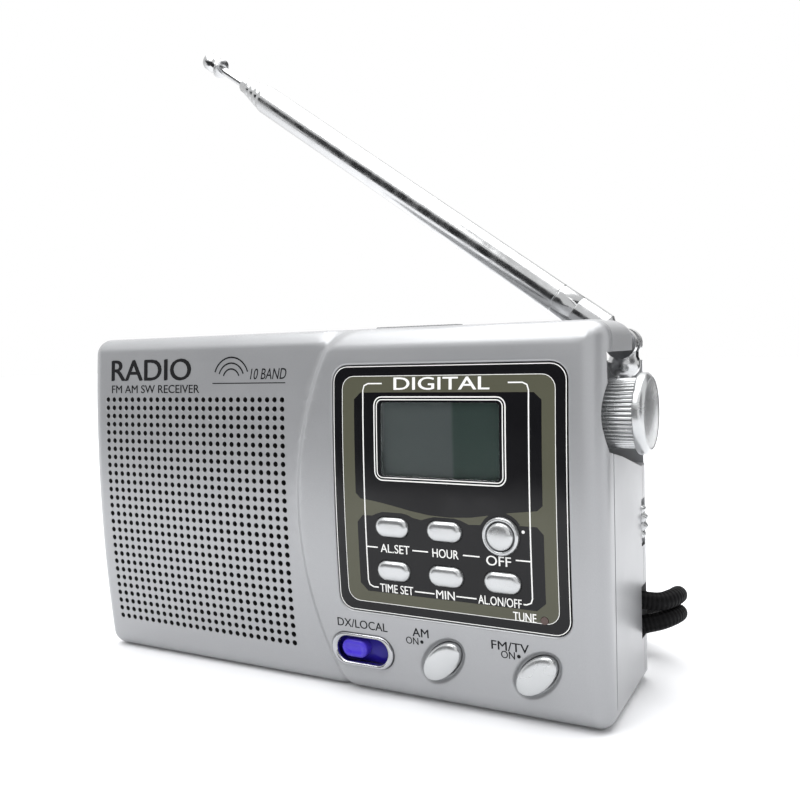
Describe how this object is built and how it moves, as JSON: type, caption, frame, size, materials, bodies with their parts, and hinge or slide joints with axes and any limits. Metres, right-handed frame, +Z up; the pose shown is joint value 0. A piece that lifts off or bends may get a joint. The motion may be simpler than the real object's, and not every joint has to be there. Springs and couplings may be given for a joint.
{
  "type": "portable shortwave receiver",
  "caption": "Pocket radio receiver with a perforated speaker front, clock display, tuning knob, telescopic antenna and a wrist strap.",
  "frame": {"origin": "centre of the case's flat underside, between its front and rear", "axes": "-Y out of the front, +X towards the tuning knob's side, +Z up"},
  "size_m": [0.1352, 0.0708, 0.1501],
  "materials": {
    "silver_paint": "satin metallic paint",
    "panel_print": "gloss",
    "clear_window": "clear polished",
    "lcd": "matte polariser",
    "white_plastic": "satin",
    "board_green": "satin",
    "board_brown": "satin",
    "black_plastic": "satin",
    "silver_button": "satin metallic paint",
    "red_lens": "clear gloss",
    "bezel_chrome": "polished",
    "blue_plastic": "satin",
    "plated_steel": "satin",
    "grey_plastic": "satin",
    "capacitor_sleeve": "gloss",
    "ferrite": "matte",
    "coil_copper": "enamelled",
    "paper_cone": "matte",
    "cell_sleeve": "gloss",
    "antenna_chrome": "polished",
    "strap_braid": "woven"
  },
  "bodies": {
    "case": {"front_shell": "silver_paint", "speaker_grille": "silver_paint", "rear_shell": "silver_paint", "display_panel": "panel_print", "lcd_window": "clear_window", "lcd_glass": "lcd", "lcd_holder": "white_plastic", "clock_board": "board_green", "clock_switches": "black_plastic", "off_button_ring": "silver_button", "tune_led": "red_lens", "power_switches": "black_plastic", "range_bezel": "bezel_chrome", "range_switch": "black_plastic", "tuning_capacitor": "white_plastic", "volume_pot": "black_plastic", "band_switch": "white_plastic", "main_board": "board_brown", "if_cans": "plated_steel", "electrolytics": "capacitor_sleeve", "audio_chip": "black_plastic", "ferrite_rod": "ferrite", "ferrite_coil": "coil_copper", "speaker_frame": "plated_steel", "speaker_cone": "paper_cone", "speaker_magnet": "ferrite", "upper_cell": "cell_sleeve", "lower_cell": "cell_sleeve", "cell_contacts": "plated_steel", "earphone_jack": "black_plastic", "power_jack": "black_plastic", "antenna_bracket": "plated_steel", "strap_bar": "plated_steel", "strap_bight": "strap_braid", "wrist_strap": "strap_braid", "case_screws": "plated_steel", "board_screws": "plated_steel"},
    "alarm_set_key": {"alarm_set_button": "silver_button"},
    "hour_key": {"hour_button": "silver_button"},
    "off_key": {"off_button": "silver_button"},
    "time_set_key": {"time_set_button": "silver_button"},
    "minute_key": {"minute_button": "silver_button"},
    "alarm_key": {"alarm_button": "silver_button"},
    "am_key": {"am_button": "silver_button"},
    "fm_key": {"fm_button": "silver_button"},
    "range_slider": {"range_knob": "blue_plastic"},
    "tuning_control": {"tuning_knob": "silver_button", "tuning_shaft": "plated_steel"},
    "volume_control": {"volume_wheel": "silver_button"},
    "band_slider": {"band_knob": "grey_plastic"},
    "door": {"battery_door": "silver_paint"},
    "antenna_turret": {"antenna_swivel": "antenna_chrome", "antenna_pin": "antenna_chrome"},
    "antenna_arm": {"antenna_knuckle": "antenna_chrome", "antenna_tube_1": "antenna_chrome"},
    "antenna_slide_2": {"antenna_tube_2": "antenna_chrome"},
    "antenna_slide_3": {"antenna_tube_3": "antenna_chrome"},
    "antenna_slide_4": {"antenna_tube_4": "antenna_chrome"},
    "antenna_slide_5": {"antenna_rod": "antenna_chrome", "antenna_tip": "antenna_chrome"}
  },
  "joints": [
    {"name": "alarm_set_press", "type": "slide", "parent": "case", "child": "alarm_set_key", "axis": [0, 1, 0], "range_m": [0, 0.0006], "stiffness_N_per_m": 300},
    {"name": "hour_press", "type": "slide", "parent": "case", "child": "hour_key", "axis": [0, 1, 0], "range_m": [0, 0.0006], "stiffness_N_per_m": 300},
    {"name": "off_press", "type": "slide", "parent": "case", "child": "off_key", "axis": [0, 1, 0], "range_m": [0, 0.0006], "stiffness_N_per_m": 300},
    {"name": "time_set_press", "type": "slide", "parent": "case", "child": "time_set_key", "axis": [0, 1, 0], "range_m": [0, 0.0006], "stiffness_N_per_m": 300},
    {"name": "minute_press", "type": "slide", "parent": "case", "child": "minute_key", "axis": [0, 1, 0], "range_m": [0, 0.0006], "stiffness_N_per_m": 300},
    {"name": "alarm_press", "type": "slide", "parent": "case", "child": "alarm_key", "axis": [0, 1, 0], "range_m": [0, 0.0006], "stiffness_N_per_m": 300},
    {"name": "am_press", "type": "slide", "parent": "case", "child": "am_key", "axis": [0, 1, 0], "range_m": [0, 0.0014], "stiffness_N_per_m": 300},
    {"name": "fm_press", "type": "slide", "parent": "case", "child": "fm_key", "axis": [0, 1, 0], "range_m": [0, 0.0014], "stiffness_N_per_m": 300},
    {"name": "range_slide", "type": "slide", "parent": "case", "child": "range_slider", "axis": [1, 0, 0], "range_m": [0, 0.005]},
    {"name": "band_slide", "type": "slide", "parent": "case", "child": "band_slider", "axis": [1, 0, 0], "range_m": [-0.0055, 0.0065]},
    {"name": "tuning_turn", "type": "hinge", "parent": "case", "child": "tuning_control", "pos_m": [0.0625, -0.005, 0.0592], "axis": [1, 0, 0], "range_deg": [-90, 90]},
    {"name": "volume_turn", "type": "hinge", "parent": "case", "child": "volume_control", "pos_m": [0.056, 0.0122, 0.035], "axis": [0, -1, 0], "range_deg": [-150, 150]},
    {"name": "door_slide", "type": "slide", "parent": "case", "child": "door", "axis": [-1, 0, 0], "range_m": [0, 0.055]},
    {"name": "antenna_swivel_turn", "type": "hinge", "parent": "case", "child": "antenna_turret", "pos_m": [0.061, 0.0102, 0.07233], "axis": [0, 0, -1], "range_deg": [0, 180]},
    {"name": "antenna_tilt", "type": "hinge", "parent": "antenna_turret", "child": "antenna_arm", "pos_m": [0.061, 0.0102, 0.07233], "axis": [0, 1, 0], "range_deg": [-35.8, 54.2]},
    {"name": "antenna_pull_2", "type": "slide", "parent": "antenna_arm", "child": "antenna_slide_2", "axis": [-0.8111, 0, 0.585], "range_m": [0, 0.08]},
    {"name": "antenna_pull_3", "type": "slide", "parent": "antenna_slide_2", "child": "antenna_slide_3", "axis": [-0.8111, 0, 0.585], "range_m": [0, 0.08]},
    {"name": "antenna_pull_4", "type": "slide", "parent": "antenna_slide_3", "child": "antenna_slide_4", "axis": [-0.8111, 0, 0.585], "range_m": [0, 0.08]},
    {"name": "antenna_pull_5", "type": "slide", "parent": "antenna_slide_4", "child": "antenna_slide_5", "axis": [-0.8111, 0, 0.585], "range_m": [0, 0.08]}
  ]
}
